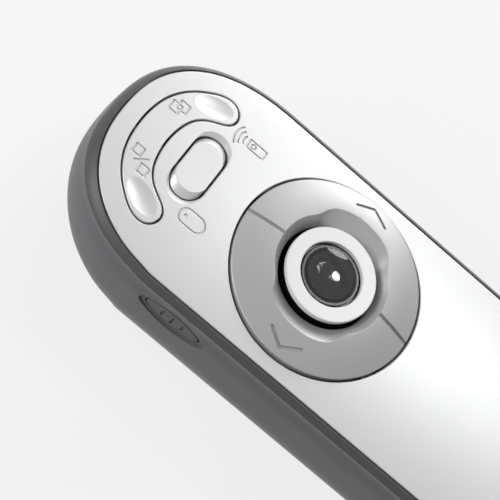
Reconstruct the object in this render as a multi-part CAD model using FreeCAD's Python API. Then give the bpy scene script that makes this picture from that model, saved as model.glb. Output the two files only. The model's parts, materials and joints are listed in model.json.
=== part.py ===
import FreeCAD, Part
import math
import os

from FreeCAD import Matrix, Rotation, Vector

# Wireless presentation clicker, in millimetres. It lies on its back: +Z is up through the
# silver face, +Y points at the head, +X is to the right. The origin is below the middle.

# Body
body_length = 138.0
body_width = 45.5
face_height = 22.0          # middle of the silver plate above the table
end_length = 27.2           # length of each rounded end
end_power = 2.35            # exponent of the rounded end's superellipse
crown_radius = 182.0        # the face is arched across its width
wall = 1.8
parting_height = 19.5
widest_height = 13.0
crease_inset = 0.35
underside_radius = 6.0      # how far the side turns in under the body
underside_rise = 9.0
end_underside_radius = 16.0
end_underside_rise = 14.0
rebate_depth = 1.0
rebate_inset = 1.25
joint_gap = 0.08

# Silver plate and the deck that carries it
plate_inset = 1.9
plate_end_extra = 0.45      # more inset at the head and tail
plate_gap = 0.3
plate_thickness = 1.2
plate_edge_radius = 0.15
deck_thickness = 1.3
deck_inset = 3.0
lip_drop = 0.1
key_gap = 0.35
symbol_depth = 0.25
symbol_stroke = 0.34

# Rocker ring
ring_y = 21.4
ring_radius = 18.0
ring_gap = 0.4
ring_edge_height = -0.1     # above the middle of the plate
ring_crown_height = 1.85
ring_crown_radius = 11.0
ring_bulge = 0.25
ring_hole_radius = 9.25
ring_hole_height = -0.4
ring_skirt_depth = 1.8
ring_shell = 1.2
dish_radius = 10.9          # wavy crest line of the dish
dish_ear = 2.1
dish_ear_start = 24.0
dish_ear_end = 42.0
dish_points = 24
seam_width = 0.7
seam_depth = 0.5
chevron_tip = 16.7
chevron_root = 14.7
chevron_half_height = 3.2
chevron_stroke = 0.6
chevron_depth = 0.42

# Pivots of the keys, which all rock about the long axis
pivot_height = 17.6
ring_pin_radius = 1.0
key_pin_radius = 0.8
pin_clearance = 0.04
pin_end_gap = 0.3
post_thickness = 1.9
post_half_width = 2.4
lug_half_width = 2.0
ring_travel_angle = 2.0
crescent_travel_angle = 2.0
mode_travel_angle = 3.0
side_travel_angle = 3.0
ring_switch_x = 14.0
crescent_switch_x = 11.6
mode_switch_x = 4.3
crescent_switch_y = 31.9
ring_post_radius = 1.0
crescent_post_radius = 0.9
mode_post_radius = 0.8
contact_gap = 0.03

# Crescent key, its middle gap line as points from the ring centre, right half
crescent_points = [
    (0.0, 41.7), (3.8, 41.4), (7.4, 40.35), (10.8, 38.15), (13.3, 35.35), (14.75, 32.6),
    (14.7, 30.4), (13.6, 29.15), (12.2, 28.75), (10.75, 29.25), (9.6, 30.7), (8.35, 32.8),
    (6.6, 34.5), (3.6, 35.65), (0.0, 36.05),
]
crescent_thickness = 1.9
pad_x = 11.9
pad_y = 33.1
pad_turn = 24.0
pad_depth = 0.34
pad_length = 7.4
pad_width = 4.1

# Oval mode key
mode_y = 29.0
mode_length = 13.4
mode_width = 6.65
mode_flat_length = 10.4
mode_proud = 0.1
mode_end_drop = 0.75
mode_thickness = 2.2
mode_edge_radius = 0.2
scoop_shift = 1.2
scoop_depth = 0.6

# Navigation stick
stick_ring_radius = 8.6
stick_ring_bore = 5.91
stick_ring_top = 1.65
stick_ring_thickness = 1.0
cup_radius = 8.3
cup_bore = 6.6
cup_floor_bottom = 17.6
cup_floor = 1.3
stem_radius = 2.2
stem_bottom = 13.4
magnet_radius = 1.6
magnet_height = 1.2
gimbal_pivot = 15.6
gimbal_bore = 3.0
gimbal_radius = 4.6
gimbal_height = 1.8
gimbal_pin_radius = 0.6
gimbal_pin_reach = 6.2
bracket_ear_inner = 5.0
bracket_ear_thickness = 1.4
bracket_ear_half_width = 1.6
bracket_radius = 8.0
bracket_base = 0.8
boot_foot_radius = 7.9
boot_top_radius = 7.4
boot_wall = 0.5
boot_waist = 7.3

# Centre button
button_radius = 5.45
button_rim_drop = 0.55
button_travel = 0.45
button_flange_radius = 6.4
button_flange = 0.6
button_bottom = 20.4
dome_radius = 4.95
dome_rise = 0.75
lens_radius = 3.3

# Electronics
pcb_top = 12.0
pcb_thickness = 1.1
pcb_rear = -8.0
pcb_front = 62.0
pcb_inset = 3.2
switch_size = 3.0
switch_height = 0.9
switch_plunger = 0.35
switch_plunger_radius = 0.75
shield_size = (13.0, 9.0, 1.8)
shield_place = (0.0, 0.0)
chip_size = (7.0, 7.0, 1.0)
chip_place = (9.0, 37.5)

# Side key in the left wall
side_key_y = 37.6
side_key_height = 15.65
side_key_length = 13.2
side_key_width = 4.1
side_key_gap = 0.28
side_pocket_margin = 0.55
side_pocket_depth = 0.4
side_key_recess = 0.3
side_flange_margin = 0.6
side_flange_thickness = 0.85
side_flange_gap = 0.65
side_pin_radius = 0.7
side_post_radius = 0.7
side_ear_thickness = 0.75
side_ear_half_width = 1.6
side_board_length = 12.8
side_board_x = -16.0
side_board_thickness = 1.0
side_switch_offset = 4.5

# Batteries and their door
cell_radius = 5.25
cell_length = 44.5
cell_gap = 0.7
cell_rear = -56.0
cell_bottom = 3.1
cell_nub_radius = 1.9
cell_nub_height = 1.0
bay_wall = 1.0
bay_clearance = 0.35
contact_thickness = 0.3
contact_width = 8.0
cell_spring_length = 3.0
cell_spring_thickness = 0.35
cell_spring_half_span = 3.4
cell_spring_width = 5.0
door_half_width = 12.6
door_front = -9.5
door_top = 5.0
door_gap = 0.15
door_rail_rear = -50.0
door_rail_reach = 0.75
door_rail_bottom = 0.55
door_rail_thickness = 0.6
door_tongue_lift = 0.12
door_tongue_thickness = 0.95
grip_grooves = 5
grip_pitch = 1.8

# Laser pointer at the head
laser_radius = 3.2
laser_height = 6.4
laser_rear = 40.0
laser_length = 16.0
holder_rear = 41.0
holder_length = 11.0
holder_wall = 1.4
window_radius = 2.6
window_thickness = 1.0
window_recess = 0.6

# Screws
screw_radius = 1.0
screw_head_radius = 1.9
screw_head_height = 1.2
screw_clearance = 0.02
boss_radius = 2.9
boss_meeting_height = 12.0
screw_seat = 6.0
screw_top = 17.0
housing_screw_places = ((14.8, 46.8), (16.2, -3.5), (15.4, -50.0))
pcb_screw_places = ((16.4, 8.0), (5.9, 59.5))
pcb_boss_radius = 2.1

half_length = body_length / 2
half_width = body_width / 2
straight = half_length - end_length
plate_floor = plate_thickness
deck_floor = plate_thickness + deck_thickness
tall = 60.0


def box(x0, x1, y0, y1, z0, z1):
    return Part.makeBox(x1 - x0, y1 - y0, z1 - z0, Vector(x0, y0, z0))


def rod(radius, start, end):
    way = Vector(*end) - Vector(*start)
    return Part.makeCylinder(radius, way.Length, Vector(*start), way)


def tube(outer, inner, x, y, z0, z1):
    return rod(outer, (x, y, z0), (x, y, z1)).cut(rod(inner, (x, y, z0 - 1), (x, y, z1 + 1)))


def joined(shapes):
    whole = shapes[0]
    for shape in shapes[1:]:
        whole = whole.fuse(shape)
    return whole.removeSplitter()


def without(shape, tools):
    for tool in tools:
        shape = shape.cut(tool)
    return shape


def spline(points, first=None, last=None):
    curve = Part.BSplineCurve()
    if first is None:
        curve.interpolate(Points=points, PeriodicFlag=True)
    else:
        curve.interpolate(Points=points, InitialTangent=first, FinalTangent=last)
    return curve


def body_outline(side_inset, end_inset, z):
    """Two straight sides and two superellipse ends, drawn in from the widest outline."""
    w = half_width - side_inset
    reach = end_length - end_inset
    power = 2 / end_power
    count = 20
    head = []
    for i in range(count + 1):
        angle = math.pi * i / count
        c = math.cos(angle)
        x = w * math.copysign(abs(c) ** power, c)
        head.append(Vector(x, straight + reach * abs(math.sin(angle)) ** power, z))
    head[0] = Vector(w, straight, z)
    head[-1] = Vector(-w, straight, z)
    tail = [Vector(-p.x, -p.y, z) for p in head]
    up = Vector(0, 1, 0)
    edges = [
        Part.LineSegment(tail[-1], head[0]).toShape(),
        spline(head, up, -up).toShape(),
        Part.LineSegment(head[-1], tail[0]).toShape(),
        spline(tail, -up, up).toShape(),
    ]
    return Part.Wire(edges)


def body_prism(inset, z0, z1, end_extra=0.0):
    face = Part.Face(body_outline(inset, inset + end_extra, z0))
    return face.extrude(Vector(0, 0, z1 - z0))


def turn_in(height, rise, radius):
    """How far an elliptical turn of this rise and radius has drawn in at a height above its end."""
    if height >= rise:
        return 0.0
    return radius * (1 - math.sqrt(max(0.0, 1 - ((rise - height) / rise) ** 2)))


def tub_solid(inset, floor, top):
    """The tub's outer skin, or its cavity when it is drawn in by the wall."""
    levels = [top, (top + widest_height) / 2]
    tallest = max(underside_rise, end_underside_rise)
    for degrees in (0, 15, 30, 42, 54, 64, 73, 81, 90):
        levels.append(floor + (tallest - floor) * (1 - math.sin(math.radians(degrees))))
    levels = sorted(set(levels), reverse=True)
    span = parting_height - widest_height
    wires = []
    for z in levels:
        bulge = crease_inset * (max(0.0, z - widest_height) / span) ** 2
        side = turn_in(z - floor, underside_rise - floor, underside_radius - inset)
        end = turn_in(z - floor, end_underside_rise - floor, end_underside_radius - inset)
        wires.append(body_outline(inset + bulge + side, inset + bulge + end, z))
    return Part.makeLoft(wires, True, False)


def crown_height(x):
    """Height of the arched face above a point."""
    return face_height - crown_radius + math.sqrt(crown_radius ** 2 - x ** 2)


def crown_band(top, bottom):
    """The layer between two shifts of the arched face, wider and longer than the body."""
    reach = half_width + 3
    length = body_length + 10
    corners = []
    for shift in (top, bottom):
        low = crown_height(reach) + shift
        corners.append((Vector(-reach, -length / 2, low), Vector(0, -length / 2, face_height + shift),
                        Vector(reach, -length / 2, low)))
    upper, lower = corners
    wire = Part.Wire([
        Part.Arc(*upper).toShape(),
        Part.LineSegment(upper[2], lower[2]).toShape(),
        Part.Arc(lower[2], lower[1], lower[0]).toShape(),
        Part.LineSegment(lower[0], upper[0]).toShape(),
    ])
    return Part.Face(wire).extrude(Vector(0, length, 0))


def crescent_prism(offset, z0, z1):
    """The crescent's outline, mirrored and moved outward by an offset."""
    half = [Vector(x, ring_y + y, z0) for x, y in crescent_points]
    mirrored = [Vector(-p.x, p.y, z0) for p in reversed(half[1:-1])]
    curve = spline(half + mirrored)
    moved = []
    for point in half + mirrored:
        along = curve.tangent(curve.parameter(point))[0]
        moved.append(point + Vector(-along.y, along.x, 0) * offset)
    wire = Part.Wire([spline(moved).toShape()])
    return Part.Face(wire).extrude(Vector(0, 0, z1 - z0))


def stadium_wire(length, width, x, y, z):
    radius = width / 2
    reach = length / 2 - radius
    ends = []
    for side in (1, -1):
        start = Vector(x + side * reach, y - side * radius, z)
        tip = Vector(x + side * (reach + radius), y, z)
        ends.append((start, tip, Vector(start.x, y + side * radius, z)))
    right, left = ends
    return Part.Wire([
        Part.Arc(*right).toShape(),
        Part.LineSegment(right[2], left[0]).toShape(),
        Part.Arc(*left).toShape(),
        Part.LineSegment(left[2], right[0]).toShape(),
    ])


def stadium_prism(length, width, x, y, z0, z1):
    return Part.Face(stadium_wire(length, width, x, y, z0)).extrude(Vector(0, 0, z1 - z0))


def stroke(points, width, z0, z1):
    """A line of even width with round joints, as a prism."""
    shapes = []
    for (x0, y0), (x1, y1) in zip(points, points[1:]):
        run = math.hypot(x1 - x0, y1 - y0)
        bar = box(0, run, -width / 2, width / 2, z0, z1)
        bar.rotate(Vector(0, 0, 0), Vector(0, 0, 1), math.degrees(math.atan2(y1 - y0, x1 - x0)))
        bar.translate(Vector(x0, y0, 0))
        shapes.append(bar)
    for x, y in points:
        shapes.append(rod(width / 2, (x, y, z0), (x, y, z1)))
    return joined(shapes)


def arc_stroke(x, y, radius, start, sweep, width, z0, z1):
    outer = Part.makeCylinder(radius + width / 2, z1 - z0, Vector(0, 0, z0), Vector(0, 0, 1), sweep)
    inner = Part.makeCylinder(radius - width / 2, z1 - z0 + 2, Vector(0, 0, z0 - 1))
    band = outer.cut(inner)
    band.rotate(Vector(0, 0, 0), Vector(0, 0, 1), start)
    band.translate(Vector(x, y, 0))
    return band


def square_points(x, y, size):
    h = size / 2
    return [(x - h, y - h), (x + h, y - h), (x + h, y + h), (x - h, y + h), (x - h, y - h)]


def plate_symbols():
    """Mouse symbol left of the mode key, presenter symbol right of it."""
    low = face_height - 4
    high = face_height + 2
    mouse = stadium_prism(5.5, 3.3, 0, 0, low, high)
    mouse = mouse.cut(stadium_prism(5.5 - 2 * symbol_stroke, 3.3 - 2 * symbol_stroke, 0, 0, low - 1, high + 1))
    mouse.rotate(Vector(0, 0, 0), Vector(0, 0, 1), 90)
    mouse.translate(Vector(-8.8, ring_y + 24.4, 0))
    wheel = rod(0.35, (-8.8, ring_y + 25.75, low), (-8.8, ring_y + 25.75, high))
    signal = [arc_stroke(10.4, ring_y + 24.6, r, 50, 80, symbol_stroke, low, high) for r in (1.4, 2.3, 3.2)]
    outline = [(9.5, 21.3), (11.3, 21.3), (11.3, 24.9), (9.5, 24.9), (9.5, 21.3)]
    handle = stroke([(x, ring_y + y) for x, y in outline], symbol_stroke, low, high)
    eye = arc_stroke(10.4, ring_y + 23.8, 0.45, 0, 360, 0.25, low, high)
    return [mouse, wheel, handle, eye] + signal


def crescent_symbols():
    """Overlapping windows on the right, two pages and a stroke on the left."""
    low = face_height - 4
    high = face_height + 2
    lines = [
        square_points(6.1, 38.6, 1.9),
        square_points(7.1, 37.5, 1.9),
        square_points(-5.1, 38.8, 1.7),
        square_points(-7.5, 36.1, 1.7),
        [(-7.0, 38.4), (-5.3, 36.4)],
    ]
    return [stroke([(x, ring_y + y) for x, y in line], symbol_stroke, low, high) for line in lines]


def engraved(shape, tools):
    layer = crown_band(3.0, -symbol_depth)
    return without(shape, [tool.common(layer) for tool in tools])


def mode_scoops():
    """The plate is dished beside each end of the mode key."""
    radius = mode_width / 2 + key_gap / 2
    reach = mode_length / 2 - mode_width / 2 + scoop_shift
    tools = []
    for side in (-1, 1):
        x = side * reach
        foot = Vector(x, ring_y + mode_y, crown_height(x) - scoop_depth)
        cone = Part.makeCone(radius - 1.1, radius + 0.6, scoop_depth + 0.33, foot)
        tools.append(cone)
    return tools


def make_face_plate():
    layer = crown_band(0.0, -plate_thickness)
    plate = body_prism(plate_inset, 0, tall, plate_end_extra).common(layer)
    openings = [
        rod(ring_radius + ring_gap, (0, ring_y, 0), (0, ring_y, tall)),
        crescent_prism(key_gap / 2, 0, tall),
        stadium_prism(mode_length + key_gap, mode_width + key_gap, 0, ring_y + mode_y, 0, tall),
    ]
    plate = without(plate, openings)
    top = max(plate.Faces, key=lambda face: face.CenterOfMass.z * (face.Area > 500))
    plate = plate.makeFillet(plate_edge_radius, top.Edges)
    plate = without(plate, mode_scoops())
    return engraved(plate, plate_symbols())


def shoulder_solid():
    """The soft shoulder between the parting line and the plate, closed by the arched face."""
    side_rise = crown_height(half_width - plate_inset) - parting_height
    end_rise = face_height - parting_height
    draw = plate_inset - plate_gap - crease_inset - lip_drop
    wires = []
    for share in (0.0, 0.15, 0.3, 0.45, 0.6, 0.8, 1.1):
        rise = end_rise * share
        side = crease_inset + draw * (rise / side_rise) ** 1.5
        end = crease_inset + (draw + plate_end_extra) * share ** 1.8
        wires.append(body_outline(side, end, parting_height + rise))
    loft = Part.makeLoft(wires, True, False)
    return loft.common(crown_band(-lip_drop, -8.0))


def pivot_post(y0, y1, bore):
    top = face_height - deck_floor + 0.5
    low = pivot_height - bore - 1.0
    post = box(-post_half_width, post_half_width, y0, y1, low, top)
    return post.cut(rod(bore, (0, y0 - 1, pivot_height), (0, y1 + 1, pivot_height)))


def crescent_edge(index):
    return ring_y + crescent_points[index][1]


def post_places():
    """Each post as its two faces along Y and its bore."""
    ring_bore = ring_pin_radius + pin_clearance
    key_bore = key_pin_radius + pin_clearance
    ring_face = ring_radius + ring_gap + 0.2
    mode_near = ring_y + mode_y - mode_width / 2 - key_gap - 0.1
    shared = (ring_y + mode_y + mode_width / 2 + crescent_edge(-1)) / 2
    crescent_far = crescent_edge(0) + key_gap + 0.1
    return {
        "ring_front": (ring_y + ring_face, ring_y + ring_face + post_thickness, ring_bore),
        "ring_rear": (ring_y - ring_face - post_thickness, ring_y - ring_face, ring_bore),
        "mode_rear": (mode_near - post_thickness, mode_near, key_bore),
        "shared": (shared - 1.15, shared + 1.15, key_bore),
        "crescent_front": (crescent_far, crescent_far + post_thickness, key_bore),
    }


def make_upper_bezel():
    rim = shoulder_solid()
    rim = rim.cut(body_prism(deck_inset, 0, tall))
    tongue = body_prism(rebate_inset + joint_gap, parting_height - rebate_depth + joint_gap, tall)
    tongue = tongue.cut(body_prism(deck_inset, 0, tall)).common(crown_band(-plate_floor, -12.0))
    deck = body_prism(deck_inset - 0.5, 0, tall).common(crown_band(-plate_floor, -deck_floor))
    pocket = body_prism(plate_inset - plate_gap, 0, tall, plate_end_extra).common(crown_band(5.0, -plate_floor))
    solid = joined([rim.cut(pocket), tongue, deck])
    margin = 0.1
    solid = without(solid, [
        rod(ring_radius + ring_gap, (0, ring_y, 0), (0, ring_y, tall)),
        crescent_prism(key_gap / 2 + margin, 0, tall),
        stadium_prism(mode_length + key_gap + margin, mode_width + key_gap + margin,
                      0, ring_y + mode_y, 0, tall),
    ])
    pieces = [solid]
    for y0, y1, bore in post_places().values():
        pieces.append(pivot_post(y0, y1, bore))
    for x, y in screw_centres(housing_screw_places):
        top = crown_height(x) - deck_floor + 0.3
        pieces.append(rod(boss_radius, (x, y, boss_meeting_height + joint_gap), (x, y, top)))
    solid = joined(pieces)
    pilots = []
    for x, y in screw_centres(housing_screw_places):
        pilots.append(rod(screw_radius + screw_clearance, (x, y, 0), (x, y, screw_top + 0.5)))
    relief = side_ear_half_width + 0.3
    pilots.append(box(side_wall_x() + rebate_inset - 0.1, side_pivot_x() + 1.4 + 0.3, side_key_y - relief,
                      side_key_y + relief, 0, parting_height - 0.02))
    return without(solid, pilots)


def screw_centres(places):
    return [(side * x, y) for x, y in places for side in (-1, 1)]


def side_wall_x(z=side_key_height):
    span = parting_height - widest_height
    return -(half_width - crease_inset * (max(0.0, z - widest_height) / span) ** 2)


def almond_prism(length, width, x0, x1):
    """A lens-shaped outline on the left wall, pushed along X."""
    y = side_key_y
    z = side_key_height
    tips = (Vector(x0, y - length / 2, z), Vector(x0, y + length / 2, z))
    top = Part.Arc(tips[0], Vector(x0, y, z + width / 2), tips[1]).toShape()
    bottom = Part.Arc(tips[1], Vector(x0, y, z - width / 2), tips[0]).toShape()
    solid = Part.Face(Part.Wire([top, bottom])).extrude(Vector(x1 - x0, 0, 0))
    tip_edges = [edge for edge in solid.Edges if abs(edge.tangentAt(edge.FirstParameter).x) > 0.99]
    return solid.makeFillet(width / 4, tip_edges)


def side_pivot_x():
    return side_wall_x() + wall + side_flange_gap + side_flange_thickness / 2


def side_ears():
    """Two ears behind the wall that carry the side key's pins."""
    x = side_pivot_x()
    reach = side_key_width / 2 + side_flange_margin + 0.15
    ears = []
    for side in (-1, 1):
        near = side_key_height + side * reach
        far = near + side * side_ear_thickness
        ear = box(side_wall_x() + 0.6, x + 1.4,
                  side_key_y - side_ear_half_width, side_key_y + side_ear_half_width,
                  min(near, far), max(near, far))
        bore = rod(side_pin_radius + pin_clearance, (x, side_key_y, near - 3), (x, side_key_y, near + 3))
        ears.append(ear.cut(bore))
    return ears


def cell_x():
    return cell_radius + cell_gap / 2


def bay_half_width():
    return cell_x() + cell_radius + bay_clearance


def bay_rear():
    return cell_rear - cell_spring_length - contact_thickness


def cell_front():
    return cell_rear + cell_length


def bay_front():
    return cell_front() + contact_thickness


def door_region(gap):
    """What the door takes out of the tub, wider by the gap."""
    return box(-door_half_width - gap, door_half_width + gap, -tall * 2, door_front + gap, -1, door_top + gap)


def door_rails(reach, margin, front):
    """Tongues along the tub's opening; the door's edges have grooves to match."""
    edge = door_half_width + door_gap
    low = door_rail_bottom - margin
    high = door_rail_bottom + door_rail_thickness + margin
    rear = door_rail_rear - margin
    left = box(-edge - 0.3, -edge + reach, rear, front, low, high)
    right = box(edge - reach, edge + 0.3, rear, front, low, high)
    return [left, right]


def make_lower_shell():
    outer = tub_solid(0.0, 0.0, parting_height)
    cavity = tub_solid(wall, wall, parting_height + 0.001)
    shell = outer.cut(cavity)
    rebate = body_prism(rebate_inset, parting_height - rebate_depth, tall)
    shell = shell.cut(rebate)
    bay_top = cell_bottom + 2 * cell_radius + bay_clearance
    bay = box(-bay_half_width() - bay_wall, bay_half_width() + bay_wall, bay_rear() - bay_wall,
              bay_front() + bay_wall, wall - 0.4, bay_top + bay_wall)
    hollow = box(-bay_half_width(), bay_half_width(), bay_rear(), bay_front(), -1, bay_top)
    bay = bay.common(tub_solid(wall / 2, wall / 2, parting_height))
    additions = [bay]
    for x, y in screw_centres(housing_screw_places):
        additions.append(rod(boss_radius, (x, y, wall / 2), (x, y, boss_meeting_height)))
    for x, y in screw_centres(pcb_screw_places):
        additions.append(rod(pcb_boss_radius, (x, y, wall / 2), (x, y, pcb_top - pcb_thickness)))
    inner_side = tub_solid(wall / 2, wall / 2, parting_height)
    additions = [piece.common(inner_side) for piece in additions]
    additions += side_ears()
    shell = joined([shell] + additions)
    wall_x = side_wall_x()
    cuts = [hollow, door_region(door_gap)]
    for x, y in screw_centres(housing_screw_places):
        cuts.append(rod(screw_head_radius + 0.2, (x, y, -1), (x, y, screw_seat)))
        cuts.append(rod(screw_radius + 0.15, (x, y, 0), (x, y, tall)))
    for x, y in screw_centres(pcb_screw_places):
        cuts.append(rod(screw_radius + screw_clearance, (x, y, wall + 1), (x, y, tall)))
    length = side_key_length + 2 * side_key_gap
    width = side_key_width + 2 * side_key_gap
    cuts.append(almond_prism(length, width, wall_x - 3, wall_x + wall + 0.5))
    margin = 2 * side_pocket_margin
    cuts.append(almond_prism(length + 2 * margin, width + margin, wall_x - 3, wall_x + side_pocket_depth))
    outside = laser_mouth()
    laser_front = laser_rear + laser_length
    cuts.append(rod(window_radius + 0.05, (0, laser_front, laser_height), (0, outside + 3, laser_height)))
    shell = without(shell, cuts)
    return joined([shell] + door_rails(door_rail_reach, 0.0, door_front - 2.5))


def laser_mouth():
    """Where the laser's axis leaves the head."""
    return half_length - turn_in(laser_height, end_underside_rise, end_underside_radius)


def make_battery_door():
    region = door_region(0.0)
    outer = tub_solid(0.0, 0.0, parting_height)
    cavity = tub_solid(wall, wall, parting_height + 0.001)
    door = outer.cut(cavity).common(region)
    tongue_top = wall + door_tongue_lift + door_tongue_thickness
    tongue = box(-4, 4, door_front - 2.5, door_front + 1.6, wall - 0.4, tongue_top)
    tongue = tongue.cut(box(-5, 5, door_front, door_front + 3, 0, wall + door_tongue_lift))
    door = joined([door, tongue])
    door = without(door, door_rails(door_rail_reach + door_gap, door_gap, door_front + 1))
    grooves = []
    for i in range(grip_grooves):
        y = door_front - 6 - i * grip_pitch
        grooves.append(rod(0.5, (-5, y, -0.2), (5, y, -0.2)))
    return without(door, grooves)


def ring_top_profile():
    """Section of the ring's outer cone, from its edge up towards the centre."""
    edge = Vector(ring_radius, 0, face_height + ring_edge_height)
    crown = Vector(ring_crown_radius, 0, face_height + ring_crown_height)
    middle = (edge + crown) / 2 + Vector(0, 0, ring_bulge)
    inner = Vector(ring_hole_radius - 1.0, 0, face_height + ring_crown_height + 0.2)
    return edge, middle, crown, inner


def dish_crest(degrees):
    """Radius of the dish's wavy crest line, wider near the two ends of the X axis."""
    away = abs(((degrees + 90) % 180) - 90)
    share = (dish_ear_end - away) / (dish_ear_end - dish_ear_start)
    share = min(1.0, max(0.0, share))
    return dish_radius + dish_ear * share * share * (3 - 2 * share)


def dish_tool():
    """The hollow round the stick, between a wavy outline below its lip and one above its crest."""
    depth = ring_crown_height - ring_hole_height
    wires = []
    for share in (-0.2, 1.4):
        points = []
        for i in range(dish_points):
            degrees = i * 360.0 / dish_points
            radius = ring_hole_radius + (dish_crest(degrees) - ring_hole_radius) * share
            turn = math.radians(degrees)
            points.append(Vector(radius * math.cos(turn), radius * math.sin(turn), depth * share))
        curve = Part.BSplineCurve()
        curve.interpolate(points, PeriodicFlag=True)
        wires.append(Part.Wire([curve.toShape()]))
    tool = Part.makeLoft(wires, True, True)
    tool.translate(Vector(0, ring_y, face_height + ring_hole_height))
    return tool


def chevron_tool(side):
    slope = math.degrees(math.atan2(ring_crown_height - ring_edge_height, ring_radius - ring_crown_radius))
    half = (chevron_tip - chevron_root) / 2
    points = [(-half, chevron_half_height), (half, 0), (-half, -chevron_half_height)]
    tool = stroke(points, chevron_stroke, -chevron_depth, 2.0)
    tool.rotate(Vector(0, 0, 0), Vector(0, 1, 0), slope + 3)
    middle = (chevron_tip + chevron_root) / 2
    share = (ring_radius - middle) / (ring_radius - ring_crown_radius)
    rise = ring_edge_height + (ring_crown_height - ring_edge_height) * share
    tool.translate(Vector(middle, 0, face_height + rise + 0.13))
    if side < 0:
        tool.rotate(Vector(0, 0, 0), Vector(0, 0, 1), 180)
    tool.translate(Vector(0, ring_y, 0))
    return tool


def seam_tool(side):
    slope = math.degrees(math.atan2(ring_crown_height - ring_edge_height, ring_radius - ring_crown_radius))
    tool = box(-seam_width / 2, seam_width / 2, -8, 8, -seam_depth, 3)
    tool.rotate(Vector(0, 0, 0), Vector(1, 0, 0), -slope)
    middle = (ring_radius + ring_crown_radius) / 2
    height = face_height + (ring_edge_height + ring_crown_height) / 2 + 0.15
    tool.translate(Vector(0, middle, height))
    keep = tube(ring_radius + 3, dish_radius - 0.1, 0, 0, 0, tall)
    tool = tool.common(keep)
    if side < 0:
        tool.rotate(Vector(0, 0, 0), Vector(0, 0, 1), 180)
    tool.translate(Vector(0, ring_y, 0))
    return tool


def switch_top():
    return pcb_top + switch_height + switch_plunger


def key_post(x, y, top, radius, angle):
    """The finger under a key that presses its switch at the end of the key's travel."""
    travel = (abs(x) + radius) * math.sin(math.radians(angle))
    return rod(radius, (x, y, switch_top() + travel + contact_gap), (x, y, top))


def rocking_lug(y0, y1, z1, pin_radius, pin_rear, pin_front):
    low = pivot_height - pin_radius - 0.2
    lug = box(-lug_half_width, lug_half_width, y0, y1, low, z1)
    pin = rod(pin_radius, (0, pin_rear, pivot_height), (0, pin_front, pivot_height))
    return [lug, pin]


def make_rocker_ring():
    edge, middle, crown, inner = ring_top_profile()
    low = face_height - ring_skirt_depth
    hole = ring_hole_radius
    profile = Part.Wire([
        Part.Arc(edge, middle, crown).toShape(),
        Part.LineSegment(crown, inner).toShape(),
        Part.LineSegment(inner, Vector(inner.x, 0, low)).toShape(),
        Part.LineSegment(Vector(inner.x, 0, low), Vector(ring_radius, 0, low)).toShape(),
        Part.LineSegment(Vector(ring_radius, 0, low), edge).toShape(),
    ])
    solid = Part.Face(profile).revolve(Vector(0, 0, 0), Vector(0, 0, 1), 360)
    solid.translate(Vector(0, ring_y, 0))
    rim = [e for e in solid.Edges if abs(e.BoundBox.ZMax - edge.z) < 1e-6 and e.BoundBox.XLength > 2 * hole]
    solid = solid.makeFillet(0.25, rim)
    hollow_top = face_height - 0.8
    hollow = tube(ring_radius - ring_shell, hole + ring_shell, 0, ring_y, low - 1, hollow_top)
    solid = without(solid, [rod(hole, (0, ring_y, 0), (0, ring_y, tall)), dish_tool(), hollow])
    solid = without(solid, [seam_tool(1), seam_tool(-1), chevron_tool(1), chevron_tool(-1)])
    places = post_places()
    reach = ring_radius - ring_shell
    front_tip = (places["ring_front"][0] + places["ring_front"][1]) / 2 + post_thickness / 2 - pin_end_gap
    rear_tip = 2 * ring_y - front_tip
    pieces = [solid]
    under = hollow_top + 0.1
    front = ring_y + reach
    rear = ring_y - reach
    pieces += rocking_lug(front - 3, front, under, ring_pin_radius, front - 1, front_tip)
    pieces += rocking_lug(rear, rear + 3, under, ring_pin_radius, rear_tip, rear + 1)
    for side in (-1, 1):
        pieces.append(key_post(side * ring_switch_x, ring_y, under, ring_post_radius, ring_travel_angle))
    return joined(pieces)


def pad_dish(side):
    """A long shallow thumb dish, as the underside of a wheel stood on edge."""
    across = pad_width ** 2 / (8 * pad_depth)
    along = pad_length ** 2 / (8 * pad_depth)
    wheel = Part.makeTorus(along - across, across, Vector(0, 0, 0), Vector(1, 0, 0))
    wheel.translate(Vector(0, 0, along - pad_depth))
    wheel.rotate(Vector(0, 0, 0), Vector(0, 0, 1), pad_turn)
    wheel.translate(Vector(pad_x, ring_y + pad_y, crown_height(pad_x)))
    if side < 0:
        return wheel.mirror(Vector(0, 0, 0), Vector(1, 0, 0))
    return wheel


def make_crescent_key():
    key = crescent_prism(-key_gap / 2, 0, tall).common(crown_band(0.0, -crescent_thickness))
    top = max(key.Faces, key=lambda face: face.CenterOfMass.z * (face.Area > 50))
    key = key.makeFillet(0.2, top.Edges)
    key = without(key, [pad_dish(-1), pad_dish(1)])
    key = engraved(key, crescent_symbols())
    places = post_places()
    rear_tip = places["shared"][1] - 1.0
    front_tip = places["crescent_front"][1] - pin_end_gap
    lug_rear = crescent_edge(-1) + 0.7
    lug_front = crescent_edge(0) - 0.7
    pieces = [key]
    height = face_height - crescent_thickness + 0.4
    pieces += rocking_lug(lug_rear, lug_front, height, key_pin_radius, rear_tip, front_tip)
    for side in (-1, 1):
        x = side * crescent_switch_x
        under = crown_height(x) - crescent_thickness + 0.4
        y = ring_y + crescent_switch_y
        pieces.append(key_post(x, y, under, crescent_post_radius, crescent_travel_angle))
    return joined(pieces)


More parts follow.
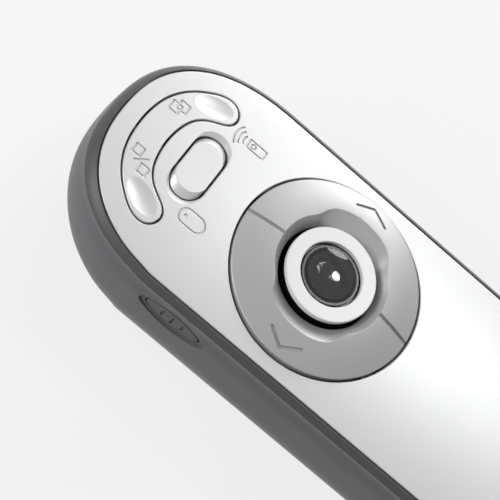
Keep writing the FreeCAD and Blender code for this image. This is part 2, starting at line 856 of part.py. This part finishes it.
def make_mode_key():
    y = ring_y + mode_y
    length = mode_length - key_gap
    width = mode_width - key_gap
    top = face_height + mode_proud
    low = face_height - mode_thickness
    shoulder = top - mode_proud - mode_end_drop
    base = stadium_prism(length, width, 0, y, low, shoulder)
    cap = Part.makeLoft([stadium_wire(length, width, 0, y, shoulder),
                         stadium_wire(mode_flat_length, width, 0, y, top)], True, True)
    key = base.fuse(cap)
    rim = [e for e in key.Edges if e.BoundBox.ZMin > top - 1e-3]
    key = key.makeFillet(mode_edge_radius, rim)
    places = post_places()
    rear_tip = places["mode_rear"][0] + pin_end_gap
    front_tip = places["shared"][0] + 1.0
    pieces = [key]
    half = width / 2 - 0.4
    pieces += rocking_lug(y - half, y + half, low + 0.3, key_pin_radius, rear_tip, front_tip)
    for side in (-1, 1):
        pieces.append(key_post(side * mode_switch_x, y, low + 0.3, mode_post_radius, mode_travel_angle))
    return joined(pieces)


def stick_top():
    return face_height + stick_ring_top


def make_stick_ring():
    z1 = stick_top()
    ring = tube(stick_ring_radius, stick_ring_bore, 0, ring_y, z1 - stick_ring_thickness, z1)
    edges = [e for e in ring.Edges if abs(e.BoundBox.ZMin - z1) < 1e-6]
    return ring.makeFillet(0.15, edges)


def make_stick_cup():
    top = stick_top() - stick_ring_thickness
    cup = tube(cup_radius, cup_bore, 0, ring_y, cup_floor_bottom + cup_floor, top)
    floor = rod(cup_radius, (0, ring_y, cup_floor_bottom), (0, ring_y, cup_floor_bottom + cup_floor))
    stem = rod(stem_radius, (0, ring_y, stem_bottom), (0, ring_y, cup_floor_bottom + 0.5))
    reach = gimbal_radius - pin_end_gap
    pins = rod(gimbal_pin_radius, (-reach, ring_y, gimbal_pivot), (reach, ring_y, gimbal_pivot))
    whole = joined([cup, floor, stem, pins])
    pocket = rod(magnet_radius, (0, ring_y, stem_bottom - 1), (0, ring_y, stem_bottom + magnet_height))
    return whole.cut(pocket)


def make_sensor_magnet():
    return rod(magnet_radius, (0, ring_y, stem_bottom), (0, ring_y, stem_bottom + magnet_height))


def make_gimbal_ring():
    low = gimbal_pivot - gimbal_height / 2
    ring = tube(gimbal_radius, gimbal_bore, 0, ring_y, low, low + gimbal_height)
    bore = gimbal_pin_radius + pin_clearance
    ring = ring.cut(rod(bore, (-9, ring_y, gimbal_pivot), (9, ring_y, gimbal_pivot)))
    pieces = [ring]
    for side in (-1, 1):
        start = ring_y + side * (gimbal_radius - 0.6)
        end = ring_y + side * gimbal_pin_reach
        pieces.append(rod(gimbal_pin_radius, (0, start, gimbal_pivot), (0, end, gimbal_pivot)))
    return joined(pieces)


def make_stick_bracket():
    base = tube(bracket_radius, gimbal_bore, 0, ring_y, pcb_top, pcb_top + bracket_base)
    pieces = [base]
    for side in (-1, 1):
        near = ring_y + side * bracket_ear_inner
        far = near + side * bracket_ear_thickness
        top = gimbal_pivot + gimbal_pin_radius + 0.7
        ear = box(-bracket_ear_half_width, bracket_ear_half_width, min(near, far), max(near, far), pcb_top, top)
        bore = gimbal_pin_radius + pin_clearance
        drill = rod(bore, (0, ring_y + side * 3, gimbal_pivot), (0, ring_y + side * 9, gimbal_pivot))
        pieces.append(ear.cut(drill))
    return joined(pieces)


def make_centering_boot():
    """A thin waisted silicone sleeve that brings the stick back upright."""
    low = pcb_top + bracket_base
    high = cup_floor_bottom - 0.02
    middle = (low + high) / 2
    outer = Part.Arc(Vector(boot_foot_radius, 0, low), Vector(boot_waist, 0, middle),
                     Vector(boot_top_radius, 0, high))
    inner = Part.Arc(Vector(boot_top_radius - boot_wall, 0, high), Vector(boot_waist - boot_wall, 0, middle),
                     Vector(boot_foot_radius - boot_wall, 0, low))
    profile = Part.Wire([
        outer.toShape(),
        Part.LineSegment(outer.EndPoint, inner.StartPoint).toShape(),
        inner.toShape(),
        Part.LineSegment(inner.EndPoint, outer.StartPoint).toShape(),
    ])
    boot = Part.Face(profile).revolve(Vector(0, 0, 0), Vector(0, 0, 1), 360)
    boot.translate(Vector(0, ring_y, 0))
    return boot


def button_rim():
    return stick_top() - button_rim_drop


def make_lens_barrel():
    rim = button_rim()
    flange_top = stick_top() - stick_ring_thickness - 0.15
    outside = [
        rod(button_radius, (0, ring_y, button_bottom), (0, ring_y, rim)),
        rod(button_flange_radius, (0, ring_y, flange_top - button_flange), (0, ring_y, flange_top)),
        rod(1.0, (0, ring_y, button_floor() + button_travel + contact_gap), (0, ring_y, button_bottom + 0.2)),
    ]
    steps = []
    for radius, depth in ((dome_radius + 0.02, 0.35), (4.2, 0.75), (3.75, 1.15), (lens_radius, 1.9)):
        steps.append(rod(radius, (0, ring_y, rim - depth), (0, ring_y, rim + 1)))
    return without(joined(outside), steps)


def button_floor():
    return cup_floor_bottom + cup_floor + switch_height


def make_button_dome():
    low = cup_floor_bottom + cup_floor
    return rod(2.2, (0, ring_y, low), (0, ring_y, button_floor()))


def lens_cap(radius, rise, thickness, z):
    """A spherical cap of even thickness with a flat seat."""
    big = (radius ** 2 + rise ** 2) / (2 * rise)
    ball = Part.makeSphere(big, Vector(0, ring_y, z + rise - big))
    core = Part.makeSphere(big - thickness, Vector(0, ring_y, z + rise - big))
    slab = rod(radius, (0, ring_y, z), (0, ring_y, z + rise + 1))
    return ball.common(slab).cut(core)


def make_dome_lens():
    seat = button_rim() - 0.35
    return joined([
        tube(dome_radius, dome_radius - 0.6, 0, ring_y, seat, seat + 0.35),
        lens_cap(dome_radius, dome_rise, 0.6, seat + 0.35),
    ])


def make_inner_lens():
    seat = button_rim() - 1.9
    disc = rod(lens_radius, (0, ring_y, seat), (0, ring_y, seat + 0.5))
    big = (lens_radius ** 2 + 0.8 ** 2) / (2 * 0.8)
    ball = Part.makeSphere(big, Vector(0, ring_y, seat + 0.5 + 0.8 - big))
    cap = ball.common(rod(lens_radius, (0, ring_y, seat + 0.5), (0, ring_y, seat + 3)))
    return joined([disc, cap])


def make_main_pcb():
    board = body_prism(pcb_inset, pcb_top - pcb_thickness, pcb_top)
    board = board.common(box(-tall, tall, pcb_rear, pcb_front, 0, tall))
    cuts = []
    for x, y in screw_centres(housing_screw_places):
        cuts.append(rod(boss_radius + 0.3, (x, y, 0), (x, y, tall)))
    for x, y in screw_centres(pcb_screw_places):
        cuts.append(rod(screw_radius + 0.1, (x, y, 0), (x, y, tall)))
    ear_edge = side_pivot_x() + 1.4 + 0.3
    cuts.append(box(-tall, ear_edge, side_key_y - 2, side_key_y + 2, 0, tall))
    return without(board, cuts)


def screw(x, y, seat, tip, head_up):
    """A pan-head screw; the head is above its seat or, from below, under it."""
    way = 1 if head_up else -1
    head_z = seat + way * screw_head_height
    head = rod(screw_head_radius, (x, y, min(seat, head_z)), (x, y, max(seat, head_z)))
    shank = rod(screw_radius, (x, y, min(seat, tip)), (x, y, max(seat, tip)))
    arm = screw_head_radius * 0.6
    slots = [box(x - arm, x + arm, y - 0.25, y + 0.25, head_z - 0.6, head_z + 0.6),
             box(x - 0.25, x + 0.25, y - arm, y + arm, head_z - 0.6, head_z + 0.6)]
    return without(joined([head, shank]), slots)


def make_housing_screws():
    return Part.makeCompound([screw(x, y, screw_seat, screw_top, False)
                              for x, y in screw_centres(housing_screw_places)])


def make_pcb_screws():
    return Part.makeCompound([screw(x, y, pcb_top, wall + 2, True)
                              for x, y in screw_centres(pcb_screw_places)])


def block(size, place, z):
    x, y = place
    return box(x - size[0] / 2, x + size[0] / 2, y - size[1] / 2, y + size[1] / 2, z, z + size[2])


def tact_switch(x, y):
    body = block((switch_size, switch_size, switch_height), (x, y), pcb_top)
    plunger = rod(switch_plunger_radius, (x, y, pcb_top), (x, y, switch_top()))
    return joined([body, plunger])


def side_switch(y):
    face = side_board_x - side_board_thickness / 2
    body = box(face - 1.6, face, y - 1.5, y + 1.5, side_key_height - 1.5, side_key_height + 1.5)
    plunger = rod(0.6, (face - 1.0, y, side_key_height), (face - 1.6 - switch_plunger, y, side_key_height))
    return joined([body, plunger])


def make_side_switch_board():
    return box(side_board_x - side_board_thickness / 2, side_board_x + side_board_thickness / 2,
               side_key_y - side_board_length / 2, side_key_y + side_board_length / 2,
               pcb_top, side_key_height + 2.0)


def make_side_key():
    wall_x = side_wall_x()
    face = wall_x + side_key_recess
    back = wall_x + wall + side_flange_gap
    key = almond_prism(side_key_length, side_key_width, face, back + 0.2)
    front = [e for e in key.Edges if abs(e.BoundBox.XMax - face) < 1e-4]
    key = key.makeFillet(0.3, front)
    margin = side_flange_margin
    flange = almond_prism(side_key_length + 2 * margin, side_key_width + 2 * margin,
                          back, back + side_flange_thickness)
    x = side_pivot_x()
    reach = side_key_width / 2 + side_flange_margin + 0.15 + side_ear_thickness - 0.1
    pin = rod(side_pin_radius, (x, side_key_y, side_key_height - reach),
              (x, side_key_y, side_key_height + reach))
    pieces = [key, flange, pin]
    plunger_face = side_board_x - side_board_thickness / 2 - 1.6 - switch_plunger
    travel = side_switch_offset * math.sin(math.radians(side_travel_angle))
    for side in (-1, 1):
        y = side_key_y + side * side_switch_offset
        tip = plunger_face - travel - contact_gap
        pieces.append(rod(side_post_radius, (back + 0.1, y, side_key_height), (tip, y, side_key_height)))
    whole = joined(pieces)
    line = symbol_stroke / 2
    marks = [box(face - 1, face + 0.25, side_key_y - line, side_key_y + line,
                 side_key_height - 1.3, side_key_height + 1.3)]
    for side in (-1, 1):
        bow = arc_stroke(0, 0, 1.5, -40, 80, 0.28, -0.25, 1)
        bow.rotate(Vector(0, 0, 0), Vector(0, 1, 0), -90)
        bow.rotate(Vector(0, 0, 0), Vector(1, 0, 0), 90 if side < 0 else -90)
        bow.translate(Vector(face, side_key_y + side * 0.7, side_key_height))
        marks.append(bow)
    return without(whole, marks)


def cell(side):
    """A cell with its nub at the head end on the left and at the tail end on the right."""
    x = side * cell_x()
    z = cell_bottom + cell_radius
    rear = cell_rear if side < 0 else cell_rear + cell_nub_height
    front = cell_front() - cell_nub_height if side < 0 else cell_front()
    can = rod(cell_radius, (x, rear, z), (x, front, z))
    nub_rear = rear + 1 if side < 0 else cell_rear
    nub_front = cell_front() if side < 0 else front - 1
    nub = rod(cell_nub_radius, (x, nub_rear, z), (x, nub_front, z))
    return joined([can, nub])


def make_battery_contacts():
    """A plate at each end of each cell."""
    z = cell_bottom + cell_radius
    half = contact_width / 2
    plates = []
    for side in (-1, 1):
        x = side * cell_x()
        for start, end in ((cell_front(), bay_front()), (bay_rear(), bay_rear() + contact_thickness)):
            plates.append(box(x - half, x + half, start, end, z - half, z + half))
    return Part.makeCompound(plates)


def make_battery_springs():
    """A bowed strip of spring steel behind each cell."""
    z = cell_bottom + cell_radius
    foot = bay_rear() + contact_thickness + 0.02
    tip = foot + cell_spring_length - 0.04
    inside = cell_spring_half_span - cell_spring_thickness
    springs = []
    for side in (-1, 1):
        x = side * cell_x() - cell_spring_width / 2
        outer = Part.Arc(Vector(x, foot, z - cell_spring_half_span), Vector(x, tip, z),
                         Vector(x, foot, z + cell_spring_half_span))
        inner = Part.Arc(Vector(x, foot, z + inside), Vector(x, tip - cell_spring_thickness, z),
                         Vector(x, foot, z - inside))
        profile = Part.Wire([
            outer.toShape(),
            Part.LineSegment(outer.EndPoint, inner.StartPoint).toShape(),
            inner.toShape(),
            Part.LineSegment(inner.EndPoint, outer.StartPoint).toShape(),
        ])
        springs.append(Part.Face(profile).extrude(Vector(cell_spring_width, 0, 0)))
    return Part.makeCompound(springs)


def make_laser_module():
    start = laser_rear
    body = rod(laser_radius, (0, start, laser_height), (0, start + laser_length, laser_height))
    front = start + laser_length
    return body.cut(rod(1.5, (0, front - 2, laser_height), (0, front + 1, laser_height)))


def make_laser_holder():
    half = laser_radius + holder_wall
    solid = box(-half, half, holder_rear, holder_rear + holder_length, wall, laser_height + half)
    solid = solid.common(box(-tall, tall, 0, tall, 0, pcb_top - pcb_thickness - 0.2))
    return solid.cut(rod(laser_radius + 0.02, (0, 0, laser_height), (0, tall * 2, laser_height)))


def make_laser_window():
    end = laser_mouth() - window_recess
    return rod(window_radius, (0, end - window_thickness, laser_height), (0, end, laser_height))


parts = {
    "lower_shell": make_lower_shell(),
    "upper_bezel": make_upper_bezel(),
    "face_plate": make_face_plate(),
    "crescent_key": make_crescent_key(),
    "mode_key": make_mode_key(),
    "rocker_ring": make_rocker_ring(),
    "stick_ring": make_stick_ring(),
    "stick_cup": make_stick_cup(),
    "sensor_magnet": make_sensor_magnet(),
    "gimbal_ring": make_gimbal_ring(),
    "stick_bracket": make_stick_bracket(),
    "centering_boot": make_centering_boot(),
    "lens_barrel": make_lens_barrel(),
    "button_dome": make_button_dome(),
    "dome_lens": make_dome_lens(),
    "inner_lens": make_inner_lens(),
    "side_key": make_side_key(),
    "side_switch_board": make_side_switch_board(),
    "side_switch_front": side_switch(side_key_y + side_switch_offset),
    "side_switch_rear": side_switch(side_key_y - side_switch_offset),
    "main_pcb": make_main_pcb(),
    "pcb_screws": make_pcb_screws(),
    "housing_screws": make_housing_screws(),
    "radio_shield": block(shield_size, shield_place, pcb_top),
    "controller_chip": block(chip_size, chip_place, pcb_top),
    "sensor_chip": block((4.0, 4.0, 0.8), (0.0, ring_y), pcb_top),
    "battery_left": cell(-1),
    "battery_right": cell(1),
    "battery_contacts": make_battery_contacts(),
    "battery_springs": make_battery_springs(),
    "battery_door": make_battery_door(),
    "laser_module": make_laser_module(),
    "laser_holder": make_laser_holder(),
    "laser_window": make_laser_window(),
}
for side_name, side in (("left", -1), ("right", 1)):
    parts["ring_switch_" + side_name] = tact_switch(side * ring_switch_x, ring_y)
    parts["crescent_switch_" + side_name] = tact_switch(side * crescent_switch_x, ring_y + crescent_switch_y)
    parts["mode_switch_" + side_name] = tact_switch(side * mode_switch_x, ring_y + mode_y)

os.makedirs("parts", exist_ok=True)
for name, shape in parts.items():
    print(name, shape.isValid(), len(shape.Solids), round(shape.Volume, 2))
    shape.exportStep("parts/" + name + ".step")
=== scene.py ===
import json
import math

import bmesh
import bpy
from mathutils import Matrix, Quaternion, Vector


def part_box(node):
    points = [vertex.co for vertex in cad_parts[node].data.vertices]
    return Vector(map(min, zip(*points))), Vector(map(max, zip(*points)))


# Lengths are in metres, the roll in degrees, and the lens and sensor in millimetres

# Camera, fitted to the plate outline, the ring and the keys in the photo
camera_place = (-0.1316, 0.06504, 0.23967)
camera_target = (-0.00592, 0.03502, 0.0220)
camera_roll = 52.08
camera_lens = 108.0
camera_sensor = 36.0
camera_near = 0.01

# Lamps: where each stands, how wide it is and its power in watts
lamp_target = (0, 0.03, 0.02)
key_place = (0.48, -0.20, 0.76)
key_size = 0.17
key_power = 1.35
side_place = (0.47, 0.03, 0.17)
side_size = 0.30
side_power = 1.55
fill_place = (-0.15, 0.26, 0.16)
fill_size = 0.12
fill_power = 0.44

# World and floor
world_light = 0.22
world_seen = 1.0
floor_size = 4.0
floor_gap = 0.0001
floor_grey = 0.9
floor_glow = 0.82
glow_grey = 0.96

# Range of a noise texture that carries nearly all its values
noise_low = 0.3
noise_high = 0.7

# Edges that catch light as if slightly rounded
edge_rounding = 0.00018
edge_samples = 4

# Plastics: slow colour drift, fine grain, gloss that varies by this much, and the clear coat's gloss
plastic_drift_scale = 90.0
plastic_drift_detail = 3.0
plastic_grain_roughness = 0.6
plastic_gloss_change = 0.04
coat_roughness = 0.12

# Rubbery paint
soft_roughness = 0.55
soft_grain_depth = 0.000012
paint_grain_scale = 5200.0

# Silver paint on the plate
silver_dark = (0.57, 0.575, 0.58)
silver_light = (0.61, 0.615, 0.62)
silver_drift_scale = 40.0
flake_scale = 9000.0
flake_depth = 0.000004
silver_roughness = (0.36, 0.44)
silver_metallic = 0.45

# Spun metal of the ring
spun_dark = (0.43, 0.43, 0.435)
spun_light = (0.49, 0.49, 0.495)
turning_scale = 5200.0
turning_depth = 0.000002
spun_roughness = (0.38, 0.48)
spun_metallic = 0.28
spun_anisotropy = 0.6

# Clear plastic
haze_scale = 300.0
haze_roughness = 0.02
haze_tint = 1.1
plastic_ior = 1.45

# Bare metal
wear_scale = 700.0
wear_depth = 0.000005
wear_smoother = 0.06
wear_rougher = 0.08

# Circuit board
track_scale = 260.0
track_width = 0.06
track_depth = 0.00002
mask_dark = (0.010, 0.085, 0.035)
mask_light = (0.012, 0.100, 0.040)
track_colour = (0.030, 0.170, 0.070)
mask_roughness = 0.35


def grey(level):
    return (level, level, level)


def opaque(colour):
    return (*colour, 1)


def shader(name):
    """A new material, its nodes, its links and its main shader."""
    material = bpy.data.materials.new(name)
    material.use_nodes = True
    nodes = material.node_tree.nodes
    return material, nodes, material.node_tree.links, nodes["Principled BSDF"]


def object_coordinates(nodes):
    return nodes.new("ShaderNodeTexCoord").outputs["Object"]


def noise(nodes, links, coordinates, scale, detail=2.0, roughness=0.5):
    texture = nodes.new("ShaderNodeTexNoise")
    texture.inputs["Scale"].default_value = scale
    texture.inputs["Detail"].default_value = detail
    texture.inputs["Roughness"].default_value = roughness
    links.new(coordinates, texture.inputs["Vector"])
    return texture.outputs["Fac"]


def spread(nodes, links, factor, low, high):
    """Maps a noise to the range from low to high."""
    ramp = nodes.new("ShaderNodeMapRange")
    ramp.inputs["From Min"].default_value = noise_low
    ramp.inputs["From Max"].default_value = noise_high
    ramp.inputs["To Min"].default_value = low
    ramp.inputs["To Max"].default_value = high
    links.new(factor, ramp.inputs["Value"])
    return ramp.outputs["Result"]


def tinted(nodes, links, factor, dark, light):
    """A colour that drifts between two greys or tints."""
    mix = nodes.new("ShaderNodeMix")
    mix.data_type = "RGBA"
    mix.inputs["A"].default_value = opaque(dark)
    mix.inputs["B"].default_value = opaque(light)
    links.new(factor, mix.inputs["Factor"])
    return mix.outputs["Result"]


def bumped(nodes, links, bsdf, height, distance):
    """A fine relief over edges that catch light as if slightly rounded."""
    rounded = nodes.new("ShaderNodeBevel")
    rounded.samples = edge_samples
    rounded.inputs["Radius"].default_value = edge_rounding
    bump = nodes.new("ShaderNodeBump")
    bump.inputs["Distance"].default_value = distance
    links.new(height, bump.inputs["Height"])
    links.new(rounded.outputs["Normal"], bump.inputs["Normal"])
    links.new(bump.outputs["Normal"], bsdf.inputs["Normal"])


def grained_plastic(name, dark, light, roughness, grain_scale, grain_depth, coat=0.0):
    """Moulded or coated plastic: slow colour drift, a fine grain and uneven gloss."""
    material, nodes, links, bsdf = shader(name)
    place = object_coordinates(nodes)
    drift = noise(nodes, links, place, plastic_drift_scale, plastic_drift_detail)
    links.new(tinted(nodes, links, drift, dark, light), bsdf.inputs["Base Color"])
    grain = noise(nodes, links, place, grain_scale, roughness=plastic_grain_roughness)
    smoother = roughness - plastic_gloss_change
    rougher = roughness + plastic_gloss_change
    links.new(spread(nodes, links, grain, smoother, rougher), bsdf.inputs["Roughness"])
    bumped(nodes, links, bsdf, grain, grain_depth)
    bsdf.inputs["Coat Weight"].default_value = coat
    bsdf.inputs["Coat Roughness"].default_value = coat_roughness
    return material


def with_sheen(material, weight, roughness):
    """Makes a paint paler where it is seen edge on."""
    bsdf = material.node_tree.nodes["Principled BSDF"]
    bsdf.inputs["Sheen Weight"].default_value = weight
    bsdf.inputs["Sheen Roughness"].default_value = roughness
    return bsdf


def soft_touch(name, dark, light):
    """Rubbery paint: matt, with a pale sheen."""
    material = grained_plastic(name, dark, light, soft_roughness, paint_grain_scale, soft_grain_depth)
    bsdf = with_sheen(material, weight=0.3, roughness=0.35)
    bsdf.inputs["Specular IOR Level"].default_value = 0.3
    return material


def painted_shade_shoulder():
    """The shoulder's paint: the tub's grey painted darker as painted shade, with a strong sheen."""
    material = grained_plastic(
        "painted_shade_shoulder", (0.055, 0.056, 0.060), (0.068, 0.069, 0.073),
        roughness=0.48, grain_scale=paint_grain_scale, grain_depth=0.000006)
    with_sheen(material, weight=0.8, roughness=0.3)
    return material


def silver_paint():
    """Satin silver paint with very fine metal flakes."""
    material, nodes, links, bsdf = shader("silver_paint")
    place = object_coordinates(nodes)
    drift = noise(nodes, links, place, silver_drift_scale)
    links.new(tinted(nodes, links, drift, silver_dark, silver_light), bsdf.inputs["Base Color"])
    flakes = noise(nodes, links, place, flake_scale, detail=1.0)
    links.new(spread(nodes, links, flakes, *silver_roughness), bsdf.inputs["Roughness"])
    bumped(nodes, links, bsdf, flakes, flake_depth)
    bsdf.inputs["Metallic"].default_value = silver_metallic
    return material


def vector_math(nodes, operation):
    step = nodes.new("ShaderNodeVectorMath")
    step.operation = operation
    return step


def spun_metal(centre):
    """Silver turned on a lathe: fine rings round the centre that draw the highlights into rays."""
    material, nodes, links, bsdf = shader("spun_metal")
    place = object_coordinates(nodes)
    offset = vector_math(nodes, "SUBTRACT")
    offset.inputs[1].default_value = centre
    links.new(place, offset.inputs[0])
    parts = nodes.new("ShaderNodeSeparateXYZ")
    links.new(offset.outputs[0], parts.inputs[0])
    flat = nodes.new("ShaderNodeCombineXYZ")
    links.new(parts.outputs["X"], flat.inputs["X"])
    links.new(parts.outputs["Y"], flat.inputs["Y"])
    radius = vector_math(nodes, "LENGTH")
    links.new(flat.outputs[0], radius.inputs[0])
    around = vector_math(nodes, "CROSS_PRODUCT")
    around.inputs[0].default_value = (0, 0, 1)
    links.new(flat.outputs[0], around.inputs[1])
    links.new(around.outputs[0], bsdf.inputs["Tangent"])
    line = nodes.new("ShaderNodeCombineXYZ")
    links.new(radius.outputs["Value"], line.inputs["X"])
    rings = noise(nodes, links, line.outputs[0], turning_scale, detail=3.0, roughness=0.7)
    links.new(tinted(nodes, links, rings, spun_dark, spun_light), bsdf.inputs["Base Color"])
    links.new(spread(nodes, links, rings, *spun_roughness), bsdf.inputs["Roughness"])
    bumped(nodes, links, bsdf, rings, turning_depth)
    bsdf.inputs["Metallic"].default_value = spun_metallic
    bsdf.inputs["Anisotropic"].default_value = spun_anisotropy
    return material


def clear_plastic(name, colour, roughness):
    """Tinted clear plastic with a faint haze."""
    material, nodes, links, bsdf = shader(name)
    place = object_coordinates(nodes)
    haze = noise(nodes, links, place, haze_scale)
    links.new(spread(nodes, links, haze, roughness, roughness + haze_roughness), bsdf.inputs["Roughness"])
    lighter = tuple(channel * haze_tint for channel in colour)
    links.new(tinted(nodes, links, haze, colour, lighter), bsdf.inputs["Base Color"])
    bsdf.inputs["Transmission Weight"].default_value = 1.0
    bsdf.inputs["IOR"].default_value = plastic_ior
    return material


def bare_metal(name, dark, light, roughness):
    """Metal with slight wear in its colour and gloss."""
    material, nodes, links, bsdf = shader(name)
    place = object_coordinates(nodes)
    wear = noise(nodes, links, place, wear_scale, detail=4.0)
    links.new(tinted(nodes, links, wear, dark, light), bsdf.inputs["Base Color"])
    smoother = roughness - wear_smoother
    rougher = roughness + wear_rougher
    links.new(spread(nodes, links, wear, smoother, rougher), bsdf.inputs["Roughness"])
    bumped(nodes, links, bsdf, wear, wear_depth)
    bsdf.inputs["Metallic"].default_value = 1.0
    return material


def circuit_board():
    """Green solder mask with faint copper tracks under it."""
    material, nodes, links, bsdf = shader("circuit_board")
    place = object_coordinates(nodes)
    brick = nodes.new("ShaderNodeTexBrick")
    brick.inputs["Scale"].default_value = track_scale
    brick.inputs["Mortar Size"].default_value = track_width
    brick.inputs["Color1"].default_value = opaque(mask_dark)
    brick.inputs["Color2"].default_value = opaque(mask_light)
    brick.inputs["Mortar"].default_value = opaque(track_colour)
    links.new(place, brick.inputs["Vector"])
    links.new(brick.outputs["Color"], bsdf.inputs["Base Color"])
    bumped(nodes, links, bsdf, brick.outputs["Fac"], track_depth)
    bsdf.inputs["Roughness"].default_value = mask_roughness
    return material


def make_plastics():
    """Name, dark and light tint, roughness, grain scale, grain depth and clear coat of each."""
    rows = (
        ("white_plastic", grey(0.92), grey(0.95), 0.30, 4000.0, 0.000002, 0.0),
        ("black_plastic", (0.008, 0.008, 0.009), (0.014, 0.014, 0.015), 0.28, 4000.0, 0.000003, 0.0),
        ("dark_lens", (0.004, 0.004, 0.006), (0.008, 0.008, 0.011), 0.08, 500.0, 0.0, 1.0),
        ("natural_nylon", (0.60, 0.58, 0.52), (0.66, 0.64, 0.58), 0.45, 2500.0, 0.00001, 0.0),
        ("chip_black", grey(0.015), grey(0.025), 0.6, 6000.0, 0.00001, 0.0),
        ("silicone", grey(0.35), grey(0.42), 0.4, 3000.0, 0.000006, 0.0),
        ("cell_wrap", (0.05, 0.05, 0.055), (0.07, 0.07, 0.075), 0.25, 900.0, 0.000004, 0.5),
        ("switch_black", grey(0.02), grey(0.035), 0.5, 4000.0, 0.000008, 0.0),
    )
    return {row[0]: grained_plastic(*row) for row in rows}


def make_metals():
    """Name, dark and light tint and roughness of each."""
    rows = (
        ("nickel", (0.62, 0.61, 0.58), (0.72, 0.71, 0.68), 0.25),
        ("spring_steel", grey(0.50), grey(0.60), 0.28),
        ("black_steel", grey(0.05), grey(0.09), 0.38),
        ("brass", (0.62, 0.44, 0.18), (0.74, 0.55, 0.26), 0.3),
    )
    return {row[0]: bare_metal(*row) for row in rows}


def make_materials(ring_centre):
    """One material for each material slot of the record."""
    return {
        **make_plastics(),
        **make_metals(),
        "soft_grey": soft_touch("soft_grey", (0.118, 0.120, 0.125), (0.134, 0.136, 0.142)),
        "dark_grey": soft_touch("dark_grey", (0.085, 0.086, 0.090), (0.098, 0.099, 0.104)),
        "silver_plate": silver_paint(),
        "spun_silver": spun_metal(ring_centre),
        "smoked_glass": clear_plastic("smoked_glass", (0.34, 0.34, 0.36), roughness=0.0),
        "circuit_board": circuit_board(),
    }


def dress_nodes(frame, materials):
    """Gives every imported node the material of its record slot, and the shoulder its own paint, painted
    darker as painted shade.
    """
    slots = {part["node"]: part["material_slot"] for part in frame["record"]["subparts"]}
    for name, node in frame["nodes"].items():
        node.data.materials.clear()
        node.data.materials.append(materials[slots[name]])
    # The shoulder takes a darker copy of the tub's grey: painted shade
    bezel = frame["nodes"]["upper_bezel"].data.materials
    bezel.clear()
    bezel.append(painted_shade_shoulder())


def larger(nodes, links, first, second):
    step = nodes.new("ShaderNodeMath")
    step.operation = "MAXIMUM"
    links.new(first, step.inputs[0])
    links.new(second, step.inputs[1])
    return step.outputs[0]


def seen_directly(nodes, links, otherwise, seen):
    """One value for what the camera, a mirror or glass shows, another for light that falls on things."""
    path = nodes.new("ShaderNodeLightPath")
    mirrored = larger(nodes, links, path.outputs["Is Camera Ray"], path.outputs["Is Glossy Ray"])
    through = larger(nodes, links, mirrored, path.outputs["Is Transmission Ray"])
    value = nodes.new("ShaderNodeMapRange")
    value.inputs["To Min"].default_value = otherwise
    value.inputs["To Max"].default_value = seen
    links.new(through, value.inputs["Value"])
    return value.outputs["Result"]


def make_world():
    """White where it is seen, softer as a lamp."""
    world = bpy.data.worlds.new("studio")
    bpy.context.scene.world = world
    world.use_nodes = True
    nodes = world.node_tree.nodes
    links = world.node_tree.links
    background = nodes["Background"]
    background.inputs["Color"].default_value = opaque(grey(1))
    links.new(seen_directly(nodes, links, world_light, world_seen), background.inputs["Strength"])


def make_floor():
    """A pale floor just below the clicker. Part of what is seen of it glows, and the rest takes the shadow."""
    mesh = bpy.data.meshes.new("floor")
    work = bmesh.new()
    bmesh.ops.create_grid(work, x_segments=2, y_segments=2, size=floor_size / 2)
    work.to_mesh(mesh)
    work.free()
    floor = bpy.data.objects.new("floor", mesh)
    floor.location.z = -floor_gap
    bpy.context.collection.objects.link(floor)
    material, nodes, links, bsdf = shader("pale_floor")
    bsdf.inputs["Base Color"].default_value = opaque(grey(floor_grey))
    bsdf.inputs["Roughness"].default_value = 0.9
    glow = nodes.new("ShaderNodeEmission")
    glow.inputs["Color"].default_value = opaque(grey(glow_grey))
    mixed = nodes.new("ShaderNodeMixShader")
    links.new(seen_directly(nodes, links, 0.0, floor_glow), mixed.inputs[0])
    links.new(bsdf.outputs[0], mixed.inputs[1])
    links.new(glow.outputs[0], mixed.inputs[2])
    links.new(mixed.outputs[0], nodes["Material Output"].inputs["Surface"])
    mesh.materials.append(material)


def area_light(name, shape, place, size, power):
    lamp = bpy.data.lights.new(name, "AREA")
    lamp.shape = shape
    lamp.size = size
    lamp.energy = power
    holder = bpy.data.objects.new(name, lamp)
    holder.location = place
    direction = Vector(lamp_target) - Vector(place)
    holder.rotation_euler = direction.to_track_quat("-Z", "Y").to_euler()
    bpy.context.collection.objects.link(holder)


def make_camera():
    lens = bpy.data.cameras.new("camera")
    lens.lens = camera_lens
    lens.sensor_width = camera_sensor
    lens.clip_start = camera_near
    holder = bpy.data.objects.new("camera", lens)
    look = Vector(camera_target) - Vector(camera_place)
    level = look.to_track_quat("-Z", "Y")
    rolled = level @ Quaternion((0, 0, 1), math.radians(camera_roll))
    holder.location = camera_place
    holder.rotation_euler = rolled.to_euler()
    bpy.context.collection.objects.link(holder)
    bpy.context.scene.camera = holder


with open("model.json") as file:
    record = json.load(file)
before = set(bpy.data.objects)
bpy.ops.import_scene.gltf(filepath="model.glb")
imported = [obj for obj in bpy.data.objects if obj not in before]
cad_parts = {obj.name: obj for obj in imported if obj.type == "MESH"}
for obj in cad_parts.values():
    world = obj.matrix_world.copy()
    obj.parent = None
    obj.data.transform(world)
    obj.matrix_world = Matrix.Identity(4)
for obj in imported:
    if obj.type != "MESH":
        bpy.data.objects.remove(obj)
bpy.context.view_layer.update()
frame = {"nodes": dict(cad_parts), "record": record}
ring_low, ring_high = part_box("stick_ring")
ring_centre = tuple((ring_low + ring_high) / 2)
dress_nodes(frame, make_materials(ring_centre))
make_world()
make_floor()
area_light("key", "DISK", key_place, key_size, key_power)
area_light("side", "DISK", side_place, side_size, side_power)
area_light("fill", "SQUARE", fill_place, fill_size, fill_power)
make_camera()
bpy.context.scene.view_settings.view_transform = "Standard"
